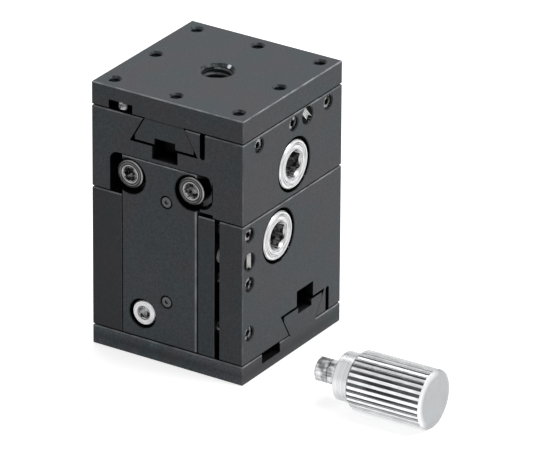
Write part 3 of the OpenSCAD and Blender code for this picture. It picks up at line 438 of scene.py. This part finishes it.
def make_materials():
    for index, (node, (front, left)) in enumerate(PAINTED_FRONT_LIGHT.items()):
        edge_highlight = PLATE_EDGE_HIGHLIGHT if node == "slide_plate" else EDGE_HIGHLIGHT
        dress(node, anodised(node, BODY, edge_highlight, 0.42, 0.3 * index, front, left))
    black = metal("blackened_steel", (0.05, 0.05, 0.052), (0.42, 0.42, 0.43), 0.36)
    inner = metal("blackened_bush", (0.012, 0.012, 0.013), (0.03, 0.03, 0.03), 0.5)
    steel = metal("plain_steel", (0.42, 0.42, 0.43), (0.6, 0.6, 0.6), 0.34)
    brass = metal("cut_brass", (0.58, 0.43, 0.2), (0.7, 0.55, 0.3), 0.35)
    across = {"x": (0.0, 0.0, 1.0), "y": (0.0, math.cos(Y_CLAMP_TURN), math.sin(Y_CLAMP_TURN)),
              "z": (0.0, 1.0, 0.0)}
    for axis, along in (("x", "y"), ("y", "x"), ("z", "x")):
        shaft, screw = axis + "_shaft", axis + "_clamp_screw"
        dress(shaft, turned(axis + "_turned_steel", 0.3, middle(shaft), along, radius_of(shaft, along),
                            DISC_BANDS, (0.07, 0.9), streaks=(0.24, 1.0), sharp=0.1,
                            lip=disc_face(shaft, along) - DISC_LIP))
        dress(screw, slotted(axis + "_clamp_steel", screw, along, across[axis]))
        dress(axis + "_bush", inner)
        dress(axis + "_friction_washer", steel)
        dress(axis + "_drive_pinion", brass)
        dress(axis + "_rack", metal(axis + "_rack_steel", (0.008, 0.008, 0.009), (0.02, 0.02, 0.02),
                                    0.5))
        dress(axis + "_rack_screws", black)
        dress(axis + "_set_screws", metal(axis + "_set_steel", (0.02, 0.02, 0.022), (0.3, 0.3, 0.3),
                                          0.38, fleck=FLECK))
    dress("z_rack_screws", metal("small_screw_steel", (0.09, 0.092, 0.096), (0.25, 0.25, 0.25), 0.38))
    dress("z_stop_screw", turned("stop_screw_steel", 0.32, middle("z_stop_screw"), "y",
                                 radius_of("z_stop_screw", "y"), CAP_BANDS, (0.06, 1.5)))
    low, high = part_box("block_screws")
    apart = (high[0] - low[0]) / 2 - HEAD_R
    dress("block_screws", turned("cap_screw_steel", 0.34, middle("block_screws"), "y", HEAD_R,
                                 HEAD_BANDS, (0.02, 2.4), apart, (0.5, 1.25)))
    for node in ("x_stop_pins", "y_stop_pins"):
        dress(node, steel)
    dress("x_stop_screws", black)
    dress("y_stop_screws", metal("stop_grub_steel", (0.04, 0.04, 0.042), (0.08, 0.08, 0.08), 0.4,
                                 fleck=FLECK))
    dress("knob_grip", knob_metal())
    dress("knob_key", key_metal())


# The lying knob: its radius, the middle of its cap end and the direction towards its hex end
KNOB_R = 0.00425
KNOB_END = Vector((0.04125, -0.00855, KNOB_R))
KNOB_TURN = math.radians(1.5)
KNOB_AXIS = Vector((-math.cos(KNOB_TURN), -math.sin(KNOB_TURN), 0.0))
# Along the knob from its cap: end of the grip, start of the flutes, end of the rim, end of the collar
GRIP_LEN, FLUTES_FROM, RIM_LEN = 0.01195, 0.00035, 0.00035
COLLAR_END = GRIP_LEN + 0.00245
# The flat of the cap ends here; the flutes overrun the rim and stop short of the collar by these
CAP_EDGE, FLUTE_OVER, GRIP_SHORT = 0.00001, 0.00002, 0.0001
# Depths below the land between which a flute takes its painted shade; reach of the rim's painted
# highlight from the cap
FLUTE_DEPTHS, RIM_FADE = (0.00022, 0.0001), 0.00014
# Painted shade line round the hex shaft, where a groove runs: distance from the collar and half width
RING_AT, RING_HALF = 0.0019, 0.00008


def knob_place(g):
    """Distance along the lying knob from its cap, from its axis, to the side of it and above it."""
    node = g.tree.nodes.new("ShaderNodeVectorMath")
    node.operation = "SUBTRACT"
    g.link(g.place, node.inputs[0])
    node.inputs[1].default_value = KNOB_END
    x, y, z = g.split(node.outputs[0])
    along = g.math("ADD", g.math("MULTIPLY", x, KNOB_AXIS.x), g.math("MULTIPLY", y, KNOB_AXIS.y))
    side = g.math("SUBTRACT", g.math("MULTIPLY", y, KNOB_AXIS.x), g.math("MULTIPLY", x, KNOB_AXIS.y))
    away = g.math("SQRT", g.math("ADD", g.math("MULTIPLY", side, side), g.math("MULTIPLY", z, z)))
    return along, away, side, z


def knob_metal():
    """Bright turned aluminium: polished lands with painted reflection bands, painted shade in the milled
    flutes, a painted highlight on the lit side of the soft rim and a plain satin cap.
    """
    g = Graph("knob_aluminium")
    g.shader.inputs["Metallic"].default_value = 1.0
    grain = g.noise(2200, 3)
    along, away, side, height = knob_place(g)
    streak = g.noise(700, 3, g.scaled(g.place, (1, 6, 6)))
    swept = g.vector(g.math("MULTIPLY", along, 5000), g.math("MULTIPLY", away, 900), 0.0)
    lathe = g.noise(1.0, 3, swept)
    up = g.split(g.normal)[2]
    # Painted reflection on the lands: darker where they face up, a little darker where they face down
    facing = g.times(g.ramp(up, 0.6, 0.85, 1.0, 0.62), g.ramp(up, -0.2, 0.2, 0.9, 1.0))
    polish = g.mix(g.ramp(streak, 0.38, 0.62, 0, 1), (0.75, 0.76, 0.77), (0.97, 0.975, 0.98))
    land = g.shaded(polish, facing)
    # Painted shade in the flutes below the land
    inside = g.ramp(away, KNOB_R - FLUTE_DEPTHS[0], KNOB_R - FLUTE_DEPTHS[1], 1, 0)
    fluted = g.times(g.math("GREATER_THAN", along, FLUTES_FROM - FLUTE_OVER),
                     g.math("LESS_THAN", along, GRIP_LEN - GRIP_SHORT))
    flute_shade = g.mix(g.ramp(g.noise(260, 2), 0.4, 0.6, 0, 1), (0.035, 0.035, 0.04), (0.09, 0.1, 0.1))
    base = g.mix(g.times(inside, fluted), land, flute_shade)
    collar = g.mix(g.ramp(lathe, 0.35, 0.65, 0, 1), (0.5, 0.505, 0.515), (0.74, 0.745, 0.755))
    base = g.mix(g.math("GREATER_THAN", along, GRIP_LEN - GRIP_SHORT), base, collar)
    rim = g.times(g.math("GREATER_THAN", along, CAP_EDGE), g.math("LESS_THAN", along, RIM_LEN))
    satin = g.mix(g.ramp(g.noise(350, 2), 0.3, 0.7, 0, 1), (0.34, 0.348, 0.36), (0.365, 0.375, 0.385))
    # Painted highlight on the rim, on its side towards the lamps
    lit = g.math("DIVIDE", g.math("ADD", g.times(side, 0.9), g.times(height, 0.42)), away)
    painted_highlight = g.times(g.ramp(along, CAP_EDGE, RIM_FADE, 0.2, 0.95), g.ramp(lit, 0.1, 0.5, 0, 1))
    base = g.mix(rim, base, g.mix(painted_highlight, satin, (0.8, 0.805, 0.815)))
    cap = g.math("LESS_THAN", along, CAP_EDGE)
    g.link(g.mix(cap, base, satin), g.shader.inputs["Base Color"])
    g.link(g.ramp(grain, 0.3, 0.7, 0.26, 0.4), g.shader.inputs["Roughness"])
    g.bump(g.math("ADD", grain, streak), 0.2, GRAIN_DEPTH)
    return g.mat


def key_metal():
    """Drawn hex steel: streaks along the bar, smudged facets and a faint painted shade line where a
    groove runs round it.
    """
    g = Graph("key_steel")
    g.shader.inputs["Metallic"].default_value = 1.0
    along = knob_place(g)[0]
    streak = g.noise(900, 3, g.scaled(g.place, (0.4, 3, 3)))
    smudge = g.noise(1000, 3)
    light = g.times(g.ramp(streak, 0.35, 0.65, 0.55, 1.2), g.ramp(smudge, 0.42, 0.58, 0.5, 1.2))
    # Painted shade line round the shaft, where a groove runs
    off = g.math("ABSOLUTE", g.math("SUBTRACT", along, COLLAR_END + RING_AT))
    groove_shade_line = g.math("LESS_THAN", off, RING_HALF)
    light = g.times(light, g.masked(groove_shade_line, 0.4))
    g.link(g.shaded((0.56, 0.565, 0.58), light), g.shader.inputs["Base Color"])
    g.link(g.ramp(smudge, 0.3, 0.7, 0.28, 0.42), g.shader.inputs["Roughness"])
    g.bump(g.math("ADD", streak, smudge), 0.25, GRAIN_DEPTH)
    return g.mat


# Thread of the middle hole: radius of the bore, of the crests, pitch, height range and steps per turn
BORE_R, CREST_R, THREAD_PITCH = 0.0022, 0.00204, 0.0008
THREAD_Z, THREAD_STEPS = (0.0358, 0.0393), 48
# Its profile: half height at the bore and at the crest, and how far it enters the wall
ROOT_HALF, CREST_HALF, ROOT_IN = 0.0003, 0.00006, 0.00002


def make_thread():
    """A helical ridge in the bore of the top plate."""
    steps = THREAD_STEPS
    bm = bmesh.new()
    loops = []
    root = BORE_R + ROOT_IN
    profile = ((root, -ROOT_HALF), (CREST_R, -CREST_HALF), (CREST_R, CREST_HALF), (root, ROOT_HALF))
    count = int((THREAD_Z[1] - THREAD_Z[0]) / THREAD_PITCH * steps)
    for i in range(count + 1):
        a, z = 2 * math.pi * i / steps, THREAD_Z[0] + THREAD_PITCH * i / steps
        loops.append([bm.verts.new((r * math.cos(a), r * math.sin(a), z + h)) for r, h in profile])
    for one, two in zip(loops, loops[1:]):
        for k in range(4):
            bm.faces.new((one[k], two[k], two[(k + 1) % 4], one[(k + 1) % 4]))
    bm.faces.new(loops[0])
    bm.faces.new(loops[-1][::-1])
    bmesh.ops.recalc_face_normals(bm, faces=bm.faces)
    mesh = bpy.data.meshes.new("centre_thread")
    bm.to_mesh(mesh)
    bm.free()
    thread = bpy.data.objects.new("centre_thread", mesh)
    bpy.context.collection.objects.link(thread)
    mesh.materials.append(
        metal("thread_metal", (0.06, 0.064, 0.068), (0.12, 0.12, 0.12), 0.5, metallic=0.2))
    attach(thread, "top")


# Floor: half width, height, own tone and the light added for the camera
FLOOR_HALF, FLOOR_Z, FLOOR_TONE, FLOOR_LIFT = 3.0, -0.00002, 0.7, 0.68
# Background: strength for the camera and for the light on the object
SKY_SEEN, SKY_LIT = 1.0, 0.4
# Area lamps: name, place, size, power; all point at LOOK_AT
LAMPS = (("key", (0.42, 0.16, 0.66), 0.3, 3.4), ("top", (-0.15, 0.25, 0.8), 0.4, 2.0),
         ("fill", (0.1, -0.7, 0.45), 0.5, 0.3))
LOOK_AT = (0, 0, 0.02)


def make_stage():
    """A wide pale floor, white for the camera, with the object's soft shadow; clear from below."""
    mesh = bpy.data.meshes.new("floor")
    s, z = FLOOR_HALF, FLOOR_Z
    mesh.from_pydata([(-s, -s, z), (s, -s, z), (s, s, z), (-s, s, z)], [], [(0, 1, 2, 3)])
    floor = bpy.data.objects.new("floor", mesh)
    bpy.context.collection.objects.link(floor)
    mat = bpy.data.materials.new("floor_white")
    mat.use_nodes = True
    tree = mat.node_tree
    tree.nodes.clear()
    out = tree.nodes.new("ShaderNodeOutputMaterial")
    diffuse = tree.nodes.new("ShaderNodeBsdfDiffuse")
    diffuse.inputs["Color"].default_value = (FLOOR_TONE, FLOOR_TONE, FLOOR_TONE, 1)
    lift = tree.nodes.new("ShaderNodeEmission")
    lift.inputs["Color"].default_value = (1, 1, 1, 1)
    tree.links.new(seen_only(tree, FLOOR_LIFT), lift.inputs["Strength"])
    both = tree.nodes.new("ShaderNodeAddShader")
    tree.links.new(diffuse.outputs[0], both.inputs[0])
    tree.links.new(lift.outputs[0], both.inputs[1])
    side = tree.nodes.new("ShaderNodeMixShader")
    tree.links.new(tree.nodes.new("ShaderNodeNewGeometry").outputs["Backfacing"], side.inputs[0])
    tree.links.new(both.outputs[0], side.inputs[1])
    tree.links.new(tree.nodes.new("ShaderNodeBsdfTransparent").outputs[0], side.inputs[2])
    tree.links.new(side.outputs[0], out.inputs["Surface"])
    mesh.materials.append(mat)


def seen_only(tree, strength, rest=0.0):
    """strength for rays from the camera and for mirrored rays, rest for all others."""
    path = tree.nodes.new("ShaderNodeLightPath")
    last = path.outputs["Is Camera Ray"]
    for name in ("Is Glossy Ray", "Is Transmission Ray"):
        node = tree.nodes.new("ShaderNodeMath")
        node.operation = "MAXIMUM"
        tree.links.new(last, node.inputs[0])
        tree.links.new(path.outputs[name], node.inputs[1])
        last = node.outputs[0]
    node = tree.nodes.new("ShaderNodeMapRange")
    tree.links.new(last, node.inputs[0])
    node.inputs[3].default_value = rest
    node.inputs[4].default_value = strength
    return node.outputs[0]


def make_light():
    world = bpy.data.worlds.new("studio")
    bpy.context.scene.world = world
    world.use_nodes = True
    tree = world.node_tree
    back = tree.nodes["Background"]
    back.inputs["Color"].default_value = (1, 1, 1, 1)
    tree.links.new(seen_only(tree, SKY_SEEN, SKY_LIT), back.inputs["Strength"])
    for name, at, size, power in LAMPS:
        data = bpy.data.lights.new(name, "AREA")
        data.size, data.energy = size, power
        lamp = bpy.data.objects.new(name, data)
        bpy.context.collection.objects.link(lamp)
        lamp.location = at
        lamp.rotation_mode = "QUATERNION"
        lamp.rotation_quaternion = (Vector(LOOK_AT) - Vector(at)).to_track_quat("-Z", "Y")


make_camera()
make_materials()
make_thread()
make_stage()
make_light()
bpy.context.scene.view_settings.view_transform = "Standard"
